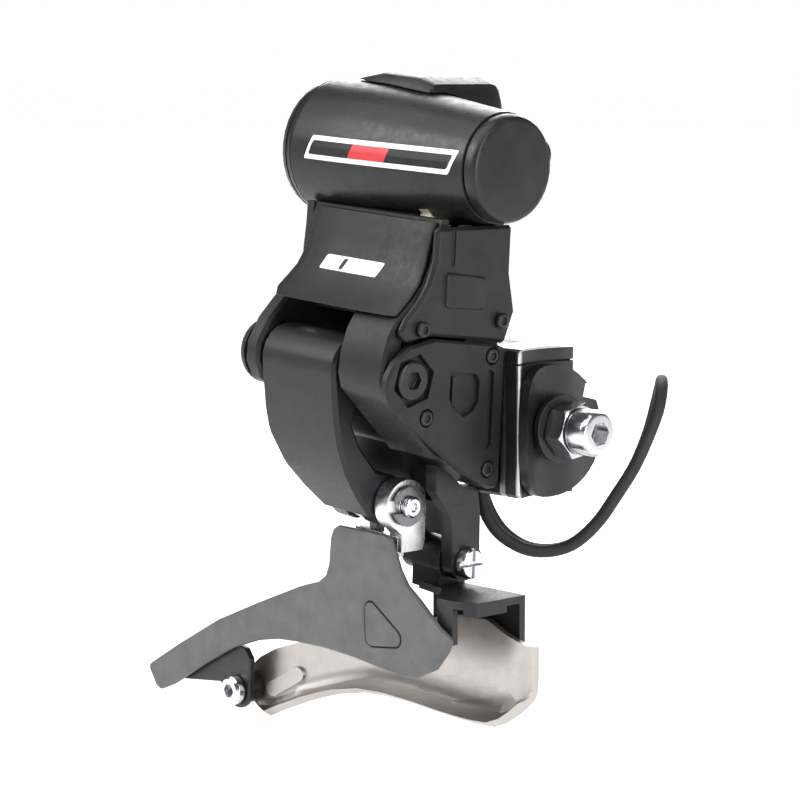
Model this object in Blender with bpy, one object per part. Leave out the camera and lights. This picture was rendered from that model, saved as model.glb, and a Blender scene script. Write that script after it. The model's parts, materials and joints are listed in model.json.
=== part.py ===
"""Electronic front derailleur with a braze-on seat.

Lengths below are in millimetres; finish() turns them into metres.
Origin: where the mounting bolt's axis meets the seat. +X along the bolt,
forward on the bike. -Y is the outer (chainring) side, +Z is up.
Motor, gears and link pivots lie along an axis tilted TILT_DEG about Y.
"""
import math

import bmesh
import bpy
from mathutils import Matrix, Vector

MM = 0.001
TILT_DEG = 3.5
TILT = Matrix.Rotation(math.radians(TILT_DEG), 4, "Y")
LEVEL = Matrix.Identity(4)
FIT = 0.3          # gap left between pieces that touch
RUN = 0.15         # running clearance of a pin in its hole

# pivots and gear centres in the tilted frame, as (y, z)
PIVOT_A = (-29.9, 10.25)
LINK = (9.6, -25.2)
PIVOT_C = (PIVOT_A[0] + LINK[0], PIVOT_A[1] + LINK[1])
PIVOT_D = (-9.3, -25.8)
PIVOT_B = (PIVOT_D[0] - LINK[0], PIVOT_D[1] - LINK[1])
MOTOR = (-12.2, 46.9)
IDLER_2 = (-18.4, 23.4)
MODULE = 0.6
TEETH_PINION = 16
TEETH_IDLER_1 = 22
TEETH_IDLER_2 = 22
TEETH_SECTOR = 36
GEAR_BACK = -14.6
GEAR_FRONT = -11.8

PIN_R = 2.5
SLEEVE_R = 3.7
BUSH_R = 3.3
STOP_SCREW = (-36.5, -6.4)
LOWER_PIN_R = 2.0
WALL_BACK = -16.3
WALL_FRONT = -4.5
EAR_BACK = -41.5
EAR_FRONT = -37.8
ARM_BACK = -37.4
ARM_FRONT = -17.0

SEAT_R = 16.5
SEAT_HALF_WIDTH = 7.5
SEAT_TOP = 14.5
SEAT_BOTTOM = -12.5
LAND_BOTTOM = 11.9
BOLT_R = 2.5

OUTER_PLATE_Y = -22.3
PLATE_T = 1.6
CABLE_R = 1.2

# motor barrel: (x, radius) along its axis
BARREL = ((-45.0, 12.6), (-43.0, 13.1), (-30.0, 12.9), (-18.0, 11.9), (-6.0, 10.5), (-1.0, 9.9))
CASE_TOP = 43.0
NECK_TOP = 37.8
BARREL_SIDES = 36
WIRE_HOLE = (-24.0, 54.0)

# screws of the two front covers, (y, z)
PLATE_SCREWS = [(-11.2, 13.3), (-11.2, -7.2), (-26.6, 3.4)]
COVER_SCREWS = [(-9.6, 19.6), (-28.6, 19.2)]

# rows of the neck cover, down from the barrel
COVER_ROWS = ((37.4, -24.7, -36.6), (33.0, -25.8, -37.2), (29.5, -26.8, -37.6),
              (26.5, -28.2, -38.2), (24.2, -30.2, -38.8), (22.6, -31.9, -39.0),
              (21.3, -33.4, -37.6))      # z, outer y, rear x
COVER_FRONT = -5.2
COVER_T = 1.3

# the cage
CAGE_PIVOT = (-29.6, *PIVOT_C)
INNER_STATIONS = (
    # x, y of the web, top z, bottom z
    (7.3, -8.3, -38.4, -48.8), (6.5, -9.3, -38.2, -50.2), (5.0, -10.0, -37.6, -51.6),
    (2.0, -10.3, -36.6, -52.8),
    (-3.0, -10.3, -34.6, -53.1), (-10, -10.3, -34.8, -52.9), (-18, -10.3, -36.6, -52.4),
    (-26, -10.3, -38.6, -52.2), (-33, -10.6, -40.4, -52.6), (-40, -11.4, -42.4, -54.0),
    (-46, -12.6, -44.2, -56.0), (-52, -14.2, -46.2, -58.6), (-57, -15.4, -48.0, -60.8),
    (-61, -16.0, -50.2, -60.9), (-64.4, -16.2, -53, -58.8), (-65.6, -16.2, -54.2, -57.6))
REAR_SCREW = (-62.5, -56.2)

# hand-chosen points of the cable's centre line, level frame
CABLE_ROUTE = (
    (-12.4, -3.3, -13.0), (-12.1, -3.1, -15.2), (-11.4, -2.5, -18.0), (-9.5, -1.0, -21.1),
    (-6.3, 2.0, -23.6), (-3.2, 5.4, -24.0), (-0.3, 8.8, -22.6), (2.2, 12.2, -18.9),
    (3.9, 15.1, -14.3), (5.8, 18.2, -8.7), (7.1, 20.7, -2.8), (7.4, 22.8, 1.8),
    (5.6, 25.6, 4.9), (2.0, 29.6, 6.1), (-2.2, 34.0, 4.8), (-5.8, 37.0, 1.0),
    (-7.7, 36.9, -5.0), (-9.1, 34.2, -11.9), (-11.0, 31.0, -17.8), (-12.8, 28.2, -22.4),
    (-15.5, 24.4, -26.4), (-18.5, 20.9, -27.7), (-21.7, 17.3, -27.0), (-25.1, 14.5, -24.0),
    (-27.6, 12.8, -19.2), (-28.4, 11.2, -12.8), (-26.0, 8.4, -7.0), (-21.4, 4.0, -2.2),
    (-17.4, 0.2, 1.8), (-17.2, -1.6, 6.0), (-19.8, -1.9, 10.3))
CABLE_STEP = 3.2
COIL_CENTRE = (-27.0, 22.0)
COIL_MEAN_R = 11.0
COIL_HALF = 2.3
COIL_Y = -1.9


# ---------------------------------------------------------------- helpers

def clear_scene():
    for obj in list(bpy.data.objects):
        bpy.data.objects.remove(obj, do_unlink=True)


def mesh_object(name, bm):
    bmesh.ops.recalc_face_normals(bm, faces=bm.faces)
    mesh = bpy.data.meshes.new(name)
    bm.to_mesh(mesh)
    bm.free()
    obj = bpy.data.objects.new(name, mesh)
    bpy.context.scene.collection.objects.link(obj)
    return obj


def rings_to_solid(rings, capped=True, closed=False):
    """Skin between rings of points; the ends are filled unless closed."""
    bm = bmesh.new()
    rows = [[bm.verts.new(p) for p in ring] for ring in rings]
    count = len(rings[0])
    pairs = list(zip(rows, rows[1:]))
    if closed:
        pairs.append((rows[-1], rows[0]))
    for a, b in pairs:
        for i in range(count):
            j = (i + 1) % count
            bm.faces.new((a[i], a[j], b[j], b[i]))
    if capped and not closed:
        bm.faces.new(list(reversed(rows[0])))
        bm.faces.new(rows[-1])
    return mesh_object("solid", bm)


def on_axis(axis, along, u, v):
    if axis == "x":
        return (along, u, v)
    if axis == "y":
        return (u, along, v)
    return (u, v, along)


def prism(outline, axis, lo, hi):
    rings = [[on_axis(axis, a, u, v) for u, v in outline] for a in (lo, hi)]
    return rings_to_solid(rings)


def block(x0, x1, y0, y1, z0, z1):
    return prism([(y0, z0), (y1, z0), (y1, z1), (y0, z1)], "x", x0, x1)


def circle(centre, radius, sides, turn=0.5):
    step = 2 * math.pi / sides
    return [(centre[0] + radius * math.cos(step * (i + turn)),
             centre[1] + radius * math.sin(step * (i + turn))) for i in range(sides)]


def rod(axis, centre, radius, lo, hi, sides=24):
    return prism(circle(centre, radius, sides), axis, lo, hi)


def turned(axis, centre, profile, sides=24):
    """Solid of revolution from (along, radius) pairs, closed at both ends."""
    rings = []
    for along, radius in profile:
        rings.append([on_axis(axis, along, u, v) for u, v in circle(centre, radius, sides)])
    return rings_to_solid(rings)


def ring(axis, centre, profile, sides=24):
    """Turned piece with a bore: the (along, radius) profile is a closed loop."""
    rings = []
    for along, radius in profile:
        rings.append([on_axis(axis, along, u, v) for u, v in circle(centre, radius, sides)])
    return rings_to_solid(rings, capped=False, closed=True)


def sleeve(axis, centre, inner, outer, lo, hi, sides=24):
    return ring(axis, centre, [(lo, inner), (lo, outer), (hi, outer), (hi, inner)], sides)


def combine(target, others, operation):
    for other in others:
        other.hide_render = True
        other.display_type = "WIRE"
        step = target.modifiers.new("step", "BOOLEAN")
        step.solver = "EXACT"
        step.operation = operation
        step.object = other
        bpy.context.view_layer.update()
        graph = bpy.context.evaluated_depsgraph_get()
        mesh = bpy.data.meshes.new_from_object(target.evaluated_get(graph))
        target.modifiers.clear()
        target.data = mesh
        bpy.data.objects.remove(other, do_unlink=True)
    return target


def cut(target, *others):
    return combine(target, others, "DIFFERENCE")


def join(target, *others):
    return combine(target, others, "UNION")


def keep(target, *others):
    return combine(target, others, "INTERSECT")


def round_edges(obj, width, sharper_than=40.0, segments=1):
    bm = bmesh.new()
    bm.from_mesh(obj.data)
    limit = math.radians(sharper_than)
    edges = [e for e in bm.edges if len(e.link_faces) == 2 and e.calc_face_angle(0.0) > limit]
    bmesh.ops.bevel(bm, geom=edges, offset=width, segments=segments, affect="EDGES",
                    clamp_overlap=True)
    bm.to_mesh(obj.data)
    bm.free()
    return obj


def tidy(obj):
    bm = bmesh.new()
    bm.from_mesh(obj.data)
    bmesh.ops.remove_doubles(bm, verts=bm.verts, dist=0.00005)
    bmesh.ops.dissolve_limit(bm, angle_limit=0.002, verts=bm.verts, edges=bm.edges)
    bmesh.ops.triangulate(bm, faces=bm.faces)
    bm.to_mesh(obj.data)
    bm.free()


def material(name, colour, metallic, roughness):
    mat = bpy.data.materials.new(name)
    mat.use_nodes = True
    shader = mat.node_tree.nodes["Principled BSDF"]
    shader.inputs["Base Color"].default_value = (*colour, 1.0)
    shader.inputs["Metallic"].default_value = metallic
    shader.inputs["Roughness"].default_value = roughness
    return mat


LOOKS = {
    "black_plastic": ((0.022, 0.022, 0.024), 0.0, 0.35),
    "black_alloy": ((0.03, 0.03, 0.032), 0.6, 0.35),
    "arm_alloy": ((0.06, 0.06, 0.065), 0.7, 0.4),
    "plate_grey": ((0.12, 0.12, 0.12), 0.5, 0.5),
    "satin_nickel": ((0.45, 0.42, 0.40), 1.0, 0.35),
    "bright_alloy": ((0.75, 0.75, 0.76), 1.0, 0.25),
    "steel": ((0.6, 0.6, 0.62), 1.0, 0.2),
    "brass": ((0.7, 0.5, 0.2), 1.0, 0.3),
    "rubber": ((0.02, 0.02, 0.02), 0.0, 0.8),
    "board_green": ((0.02, 0.15, 0.05), 0.0, 0.5),
    "gear_nylon": ((0.75, 0.72, 0.65), 0.0, 0.5),
}


def finish(obj, name, look, frame=TILT, pivot=(0.0, 0.0, 0.0)):
    """Name the piece, turn it to world metres and put its origin on the pivot."""
    tidy(obj)
    obj.name = name
    obj.data.name = name
    obj.data.transform(Matrix.Scale(MM, 4) @ frame)
    spot = frame @ Vector(pivot) * MM
    obj.data.transform(Matrix.Translation(-spot))
    obj.location = spot
    obj.data.materials.clear()
    obj.data.materials.append(material("mat_" + name, *LOOKS[look]))
    obj.data.set_sharp_from_angle(angle=math.radians(35))
    for face in obj.data.polygons:
        face.use_smooth = True
    return obj


def hex_outline(centre, across_flats, turn_deg=0.0):
    radius = across_flats / math.sqrt(3.0)
    return [(centre[0] + radius * math.cos(math.radians(60 * i + turn_deg)),
             centre[1] + radius * math.sin(math.radians(60 * i + turn_deg))) for i in range(6)]


def pan_screw(axis, centre, lo, hi, shank_r, head_r, head_t, socket, toward=1):
    """Screw along an axis; the head is at hi when toward is 1, at lo when -1."""
    head_end = hi if toward > 0 else lo
    shoulder = head_end - toward * head_t
    tail = lo if toward > 0 else hi
    rim = head_end - toward * 0.3 * head_t
    profile = [(tail, shank_r), (shoulder, shank_r), (shoulder, head_r), (rim, head_r),
               (head_end, head_r * 0.82)]
    screw = turned(axis, centre, profile, 20)
    deep = head_end - toward * head_t * 0.65
    ends = sorted((deep, head_end + toward))
    return cut(screw, prism(hex_outline(centre, socket), axis, *ends))


# ------------------------------------------------------------- gear train

def pitch_radius(teeth):
    return MODULE * teeth / 2


def idler_1_centre():
    """The crossing of the two mesh circles on the frame side of the train."""
    to_motor = pitch_radius(TEETH_PINION) + pitch_radius(TEETH_IDLER_1)
    to_idler = pitch_radius(TEETH_IDLER_1) + pitch_radius(TEETH_IDLER_2)
    dy = IDLER_2[0] - MOTOR[0]
    dz = IDLER_2[1] - MOTOR[1]
    span = math.hypot(dy, dz)
    along = (to_motor ** 2 - to_idler ** 2 + span ** 2) / (2 * span)
    side = math.sqrt(to_motor ** 2 - along ** 2)
    uy = dy / span
    uz = dz / span
    return (MOTOR[0] + along * uy - side * uz, MOTOR[1] + along * uz + side * uy)


def bearing(a, b):
    return math.atan2(b[1] - a[1], b[0] - a[0])


def mesh_phase(centre_1, teeth_1, phase_1, centre_2, teeth_2):
    """Tooth phase of gear 2 that puts its gap against the tooth of gear 1."""
    angle = bearing(centre_1, centre_2)
    return angle + math.pi - math.pi / teeth_2 + teeth_1 / teeth_2 * (angle - phase_1)


def tooth_points(centre, teeth, angle):
    pitch = pitch_radius(teeth)
    step = 2 * math.pi / teeth
    shape = ((pitch - 1.2 * MODULE, -0.30), (pitch, -0.21), (pitch + 0.85 * MODULE, -0.11),
             (pitch + 0.85 * MODULE, 0.11), (pitch, 0.21), (pitch - 1.2 * MODULE, 0.30))
    points = []
    for radius, part in shape:
        a = angle + part * step
        points.append((centre[0] + radius * math.cos(a), centre[1] + radius * math.sin(a)))
    return points


def gear(centre, teeth, phase, lo, hi, bore):
    outline = []
    for i in range(teeth):
        outline += tooth_points(centre, teeth, phase + 2 * math.pi * i / teeth)
    body = prism(outline, "x", lo, hi)
    return cut(body, rod("x", centre, bore, lo - 1, hi + 1, 16))


def gear_phases():
    idler_1 = idler_1_centre()
    sector = bearing(PIVOT_A, IDLER_2)
    second = mesh_phase(PIVOT_A, TEETH_SECTOR, sector, IDLER_2, TEETH_IDLER_2)
    first = mesh_phase(IDLER_2, TEETH_IDLER_2, second, idler_1, TEETH_IDLER_1)
    pinion = mesh_phase(idler_1, TEETH_IDLER_1, first, MOTOR, TEETH_PINION)
    return sector, second, first, pinion


def build_gears():
    idler_1 = idler_1_centre()
    sector, second, first, pinion = gear_phases()
    lo = GEAR_BACK
    hi = GEAR_FRONT
    wheel = gear(IDLER_2, TEETH_IDLER_2, second, lo, hi, 1.3)
    finish(wheel, "idler_gear_2", "gear_nylon", TILT, (lo, *IDLER_2))
    wheel = gear(idler_1, TEETH_IDLER_1, first, lo, hi, 1.3)
    finish(wheel, "idler_gear_1", "gear_nylon", TILT, (lo, *idler_1))
    wheel = gear(MOTOR, TEETH_PINION, pinion, lo, hi, 1.05)
    finish(wheel, "motor_pinion", "brass", TILT, (lo, *MOTOR))

    # the sector is a hub with a toothed fan, fixed on the arm's sleeve
    step = 2 * math.pi / TEETH_SECTOR
    fan = []
    first_tooth = -1
    last_tooth = 3
    root = pitch_radius(TEETH_SECTOR) - 1.2 * MODULE
    for i in range(first_tooth, last_tooth + 1):
        fan += tooth_points(PIVOT_A, TEETH_SECTOR, sector + i * step)
    lead = sector + (first_tooth - 0.8) * step
    trail = sector + (last_tooth + 0.8) * step
    fan.append((PIVOT_A[0] + root * math.cos(trail), PIVOT_A[1] + root * math.sin(trail)))
    fan.append((PIVOT_A[0] + 4.6 * math.cos(trail + 0.3), PIVOT_A[1] + 4.6 * math.sin(trail + 0.3)))
    fan.append((PIVOT_A[0] + 3.8 * math.cos(sector), PIVOT_A[1] + 3.8 * math.sin(sector)))
    fan.append((PIVOT_A[0] + 4.6 * math.cos(lead - 0.3), PIVOT_A[1] + 4.6 * math.sin(lead - 0.3)))
    fan.append((PIVOT_A[0] + root * math.cos(lead), PIVOT_A[1] + root * math.sin(lead)))
    part = join(prism(fan, "x", lo, hi), rod("x", PIVOT_A, 4.45, lo, hi))
    cut(part, rod("x", PIVOT_A, SLEEVE_R + 0.1, lo - 1, hi + 1))
    finish(part, "sector_gear", "brass", TILT, (ARM_BACK, *PIVOT_A))

    finish(rod("x", idler_1, 1.15, -16.0, GEAR_FRONT + 0.3, 16), "idler_shaft_1", "steel")
    finish(rod("x", IDLER_2, 1.15, -16.0, WALL_FRONT, 16), "idler_shaft_2", "steel")


# --------------------------------------------------------- fixed gear case


def barrel_solid(grow, lo, hi):
    profile = [(lo, BARREL[0][1] + grow)]
    profile += [(x, r + grow) for x, r in BARREL]
    profile += [(hi, BARREL[-1][1] + grow)]
    return turned("x", MOTOR, profile, BARREL_SIDES)


def case_front_outline():
    return [(-23.6, CASE_TOP), (-23.6, 36), (-24.6, 31), (-26.2, 27.4), (-28.2, 24.4),
            (-30.2, 22.6), (-32.2, 20.8), (-34, 18), (-35.2, 14), (-35.6, 10.4), (-34.9, 7.6),
            (-33.2, 5.8), (-25, -2.2), (-22.6, -4.6), (-19, -5.4),
            (-14, -8), (-10.4, -11), (-7.5, -11), (-7.5, 15), (-5.5, 21), (-7.2, 28),
            (-7.2, CASE_TOP)]


def case_ear_outline():
    return [(-27, 22.6), (-30, 20.4), (-33.5, 16.8), (-35.9, 12.6),
            (-36.1, 9), (-34.4, 5.4), (-30.6, 3.9), (-26.5, 2), (-23.6, -2), (-21.5, -4.6),
            (-18, -5.2), (-14.6, -3.4), (-10, 3), (-4.8, 14), (-4.8, 22.6)]


def gear_room():
    """The space the train needs, open to the front of the case."""
    idler_1 = idler_1_centre()
    lo = WALL_BACK + 1.3
    hi = WALL_FRONT + 1
    room = rod("x", IDLER_2, pitch_radius(TEETH_IDLER_2) + 1.1, lo, hi, 32)
    neck = [(-21.2, 27), (-9.4, 27), (-9.4, 60), (-21.2, 60)]
    fan = [(-31.5, 13), (-31.2, 19.6), (-29.6, 21.4), (-27, 22.4), (-19, 16), (-18.2, 9.5),
           (-19.4, 7.6), (-25, 7.6)]
    join(room, prism(neck, "x", lo + 0.07, hi + 0.1))
    join(room, prism(fan, "x", lo + 0.03, hi + 0.2))
    join(room, rod("x", PIVOT_A, 4.8, lo + 0.02, hi + 0.3))
    join(room, rod("x", PIVOT_A, SLEEVE_R + FIT, lo - 3, hi + 0.4))
    join(room, rod("x", idler_1, pitch_radius(TEETH_IDLER_1) + 1.1, lo + 0.05, GEAR_FRONT + 0.8, 32))
    return room


def build_main_body():
    idler_1 = idler_1_centre()
    body = prism(case_front_outline(), "x", WALL_BACK, WALL_FRONT)
    round_edges(body, 0.5)
    bulge = rod("x", idler_1, pitch_radius(TEETH_IDLER_1) + 2.4, WALL_BACK + 0.02, -9.6, 32)
    ear = prism(case_ear_outline(), "x", EAR_BACK, EAR_FRONT)
    round_edges(ear, 0.6)
    profile = [(EAR_BACK, 18.6), (-41.4, 24), (-41.2, 29), (-40.6, 34), (-40.2, CASE_TOP),
               (-9, CASE_TOP), (-9, 19.2)]
    saddle = prism(profile, "y", -23.2, -4.6)
    spine = prism([(-41, -1), (-30, -4), (-9, -10.4), (-9, 30), (-41, 30)], "y", -8.2, -4.7)
    root = block(-15.2, -9.2, -8.0, 5.8, -10.6, 13.6)
    round_edges(root, 0.8)
    join(body, bulge, ear, saddle, spine, root)
    cut(body, gear_room(), barrel_solid(FIT, -50, 3), neck_cover_room())
    cut(body, block(-60, 20, -60, 60, NECK_TOP, 90))
    hole = PIN_R + 0.05
    cut(body, rod("x", PIVOT_A, hole, EAR_BACK - 1, EAR_FRONT + 1))
    cut(body, rod("x", PIVOT_B, 2.05, EAR_BACK - 1, -8.4))
    for spot in (idler_1, IDLER_2):
        cut(body, rod("x", spot, 1.2, WALL_BACK + 0.2, -10, 16))
    cut(body, rod("z", STOP_SCREW, 1.1, -6, 3, 16))
    # a lightening window through the spine, which also lets the coil tie pass
    cut(body, block(-34, -20, -12, 0, 1.5, 14))
    finish(body, "main_body", "black_plastic")


def build_case_covers():
    back = WALL_FRONT + FIT
    outline = [(-36.3, 8.6), (-35.9, 11.2), (-34.4, 13.6), (-31.2, 16.2), (-25.4, 17.2),
               (-10.1, 15.3), (-8.0, 14.6), (-8.0, -9.6), (-8.6, -10.9), (-10.4, -11.0),
               (-17.6, -7.2), (-35.4, 6.4)]
    plate = prism(outline, "x", back, -2.2)
    round_edges(plate, 0.45)
    cut(plate, prism(hex_outline(PIVOT_A, 8.4, 15), "x", -3.4, 0))
    cut(plate, rod("x", PIVOT_A, PIN_R + 0.1, -6, 0, 24))
    dee = [(-21.2, 11.2), (-14.9, 10.4), (-14.1, 9), (-14.1, 5.4), (-15.4, 3.6), (-17.6, 2.8),
           (-20.3, 4.2), (-21.4, 6.6)]
    slot = [(-11.9, 11), (-10.6, 10.4), (-10.6, -2.6), (-11.9, -3.8)]
    cut(plate, prism(dee, "x", -3.2, 0), prism(slot, "x", -3.0, 0))
    lip = prism([(-20.4, 10.2), (-19.2, 10.1), (-19.2, 4.6), (-20.4, 5.2)], "x", -3.3, -2.5)
    join(plate, lip)
    for spot in PLATE_SCREWS:
        cut(plate, rod("x", spot, 0.85, -6, 0, 12), rod("x", spot, 1.7, -3.1, 0, 16))
    finish(plate, "front_plate", "black_plastic")

    outline = [(-25.4, 36.6), (-25.6, 31), (-27, 27), (-29, 24), (-32, 21), (-33.2, 18.8),
               (-31.6, 16.9), (-25.6, 17.7), (-10.1, 15.8), (-8.0, 15.2), (-5.8, 21),
               (-7.4, 28), (-7.4, 36.6)]
    cover = prism(outline, "x", back, -2.4)
    round_edges(cover, 0.6)
    panel = prism([(-23.4, 28.2), (-22.8, 28.8), (-14.2, 27.6), (-13.6, 27), (-13.6, 22.4),
                   (-14.4, 21.8), (-22.8, 22.6), (-23.4, 23.2)], "x", -3, -1.8)
    round_edges(panel, 0.25)
    join(cover, panel)
    rib = prism([(-21.6, 36.2), (-20.6, 36.2), (-20.6, 29.8), (-21.6, 29.8)], "x", -3, -1.9)
    join(cover, rib)
    cut(cover, barrel_solid(FIT, -50, 3))
    for spot in COVER_SCREWS:
        cut(cover, rod("x", spot, 0.85, -6, 0, 12))
    finish(cover, "gear_cover", "black_plastic")

    for number, spot in enumerate(PLATE_SCREWS + COVER_SCREWS):
        deep = -2.9 if spot in PLATE_SCREWS else -2.3
        screw = pan_screw("x", spot, WALL_FRONT + FIT / 2, deep + 1.1, 0.7, 1.4, 0.9, 1.3)
        finish(screw, "cover_screw_%d" % (number + 1), "steel")


def grid_solid(outer, inner):
    """Closed shell between two point grids of the same size."""
    bm = bmesh.new()
    top = [[bm.verts.new(p) for p in row] for row in outer]
    low = [[bm.verts.new(p) for p in row] for row in inner]
    rows = len(outer)
    cols = len(outer[0])
    for i in range(rows - 1):
        for j in range(cols - 1):
            bm.faces.new((top[i][j], top[i][j + 1], top[i + 1][j + 1], top[i + 1][j]))
            bm.faces.new((low[i][j], low[i + 1][j], low[i + 1][j + 1], low[i][j + 1]))
    for i in range(rows - 1):
        bm.faces.new((top[i][0], top[i + 1][0], low[i + 1][0], low[i][0]))
        bm.faces.new((top[i][-1], low[i][-1], low[i + 1][-1], top[i + 1][-1]))
    for j in range(cols - 1):
        bm.faces.new((top[0][j], low[0][j], low[0][j + 1], top[0][j + 1]))
        bm.faces.new((top[-1][j], top[-1][j + 1], low[-1][j + 1], low[-1][j]))
    return mesh_object("shell", bm)


def cover_grid(shift, reach=0.0):
    """One face of the neck cover: rows down the neck, columns along it."""
    columns = (0.0, 0.08, 0.3, 0.7, 0.92, 1.0)
    rounding = (0.9, 0.25, 0.0, 0.0, 0.25, 0.9)
    grid = []
    for z, y, rear in COVER_ROWS:
        row = []
        for c, d in zip(columns, rounding):
            x = rear + c * (COVER_FRONT - rear)
            x += reach * (1 if c > 0.5 else -1)
            row.append((x, y + shift + (0.4 if shift else 1.0) * d, z))
        grid.append(row)
    return grid


def neck_cover_room():
    """The neck cover grown by the fit, to be cleared out of the case."""
    inner = cover_grid(COVER_T + FIT, 2.0)
    inner.append([(x, y - 1.4, z - 1.1) for x, y, z in inner[-1]])
    inner.insert(0, [(x, y + 0.4, z + 3) for x, y, z in inner[0]])
    far = [[(x, -60, z) for x, _, z in row] for row in inner]
    return grid_solid(far, inner)


def build_neck_cover():
    finish(grid_solid(cover_grid(0.0), cover_grid(COVER_T)), "neck_cover", "black_plastic")


# ------------------------------------------------------------ motor barrel

def build_barrel():
    idler_1 = idler_1_centre()
    shell = barrel_solid(0.0, -45.2, -1.0)
    bore = turned("x", MOTOR, [(-46, 10.4), (-18.6, 10.0), (-15.6, 9.4), (-6, 8.8), (0, 8.6)], 24)
    cut(shell, bore)
    cut(shell, rod("x", idler_1, pitch_radius(TEETH_IDLER_1) + 0.9, GEAR_BACK - 0.5,
                   GEAR_FRONT + 0.5, 32))
    cut(shell, rod("x", idler_1, 1.6, WALL_BACK, GEAR_BACK, 16))
    # seam groove at the rear, then the wire hole into the electronics cover
    groove = sleeve("x", MOTOR, 12.7, 16, -44.0, -43.5, BARREL_SIDES)
    cut(shell, groove)
    cut(shell, rod("y", WIRE_HOLE, 1.5, -8, 6, 16))
    finish(shell, "motor_housing", "black_plastic")

    cap = turned("x", MOTOR, [(-4.0, 7.3), (-2.9, 8.2), (-2.9, 7.7), (-1.7, 7.7), (-1.7, 8.2),
                              (-0.7, 8.2), (-0.7, 9.6), (0.9, 9.6), (1.7, 9.2), (2.1, 8.2),
                              (2.3, 2.0)], BARREL_SIDES)
    finish(cap, "front_cap", "black_plastic")
    finish(sleeve("x", MOTOR, 7.8, 8.4, -2.6, -2.0, 24), "cap_seal", "rubber")

    rear = turned("x", MOTOR, [(-45.5, 12.6), (-46.6, 12.3), (-47.8, 11.3), (-48.6, 9.6),
                               (-48.9, 7.0), (-49.0, 2.0)], BARREL_SIDES)
    join(rear, rod("x", MOTOR, 9.8, -45.6, -43.6, 24))
    finish(rear, "rear_cap", "black_plastic")

    can = turned("x", MOTOR, [(-38.6, 3.0), (-37.4, 3.0), (-37.3, 8.0), (-36.6, 8.4),
                              (-20.0, 8.4), (-19.3, 8.0)], 24)
    finish(can, "motor_can", "steel")
    head = turned("x", MOTOR, [(-19.0, 9.0), (-16.4, 9.0), (-16.3, 2.6), (-15.2, 2.6),
                               (-15.1, 0.9), (-8.2, 0.9)], 24)
    finish(head, "gearhead", "bright_alloy")


def rounded_box_rings(x_values, shapes):
    rings = []
    for x, outline in zip(x_values, shapes):
        rings.append([(x, y, z) for y, z in outline])
    return rings


def build_electronics_cover():
    def section(y0, y1, z0, z1, r):
        pts = []
        for cy, cz, start in ((y1 - r, z1 - r, 0), (y0 + r, z1 - r, 90)):
            for k in range(4):
                a = math.radians(start + 30 * k)
                pts.append((cy + r * math.cos(a), cz + r * math.sin(a)))
        return pts + [(y0, z0), (y1, z0)]

    xs = (-44.0, -42.6, -38.0, -32.0, -22.0, -18.6, -17.0, -16.2)
    tops = (57.2, 59.2, 60.6, 61.8, 61.4, 60.4, 58.4, 55.0)
    sides = (1.0, 2.0, 3.0, 3.6, 3.6, 3.4, 2.6, 1.4)
    shapes = [section(-14.5, side, 43.0, top, 2.2) for top, side in zip(tops, sides)]
    box = rings_to_solid(rounded_box_rings(xs, shapes))
    boss = turned("y", (-9.6, 48.2), [(0.0, 3.2), (4.6, 3.2), (5.6, 2.9), (6.2, 1.8)], 24)
    # the boss is written as (x, z) about the Y axis, and a low skirt carries it
    skirt = block(-20.0, -6.4, -4.0, 2.4, 43.2, 51.8)
    round_edges(skirt, 1.0)
    join(box, skirt, boss)
    cut(box, barrel_solid(FIT, -50, 3))
    board_room = block(-37.0, -20.5, -11.5, 1.8, 44.0, 59.0)
    room_core = barrel_solid(1.6, -50, 3)
    cut(board_room, room_core)
    cut(box, board_room, rod("y", WIRE_HOLE, 1.5, -8, 1.6, 16))
    finish(box, "electronics_cover", "black_plastic")
    board = rod("x", MOTOR, 8.2, -6.5, -5.5, 32)
    chip = block(-5.6, -4.9, MOTOR[0] - 2.6, MOTOR[0] + 2.0, MOTOR[1] - 2.2, MOTOR[1] + 2.6)
    join(board, chip)
    finish(board, "control_board", "board_green")


# ------------------------------------------------------- seat and its bolt

def seat_arc(radius, half_angle, count):
    """Points (x, y) on the seat's curve, symmetric about y = 0."""
    pts = []
    for i in range(count + 1):
        a = math.radians(-half_angle + 2 * half_angle * i / count)
        pts.append((SEAT_R - radius * math.cos(a), radius * math.sin(a)))
    return pts


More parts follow.
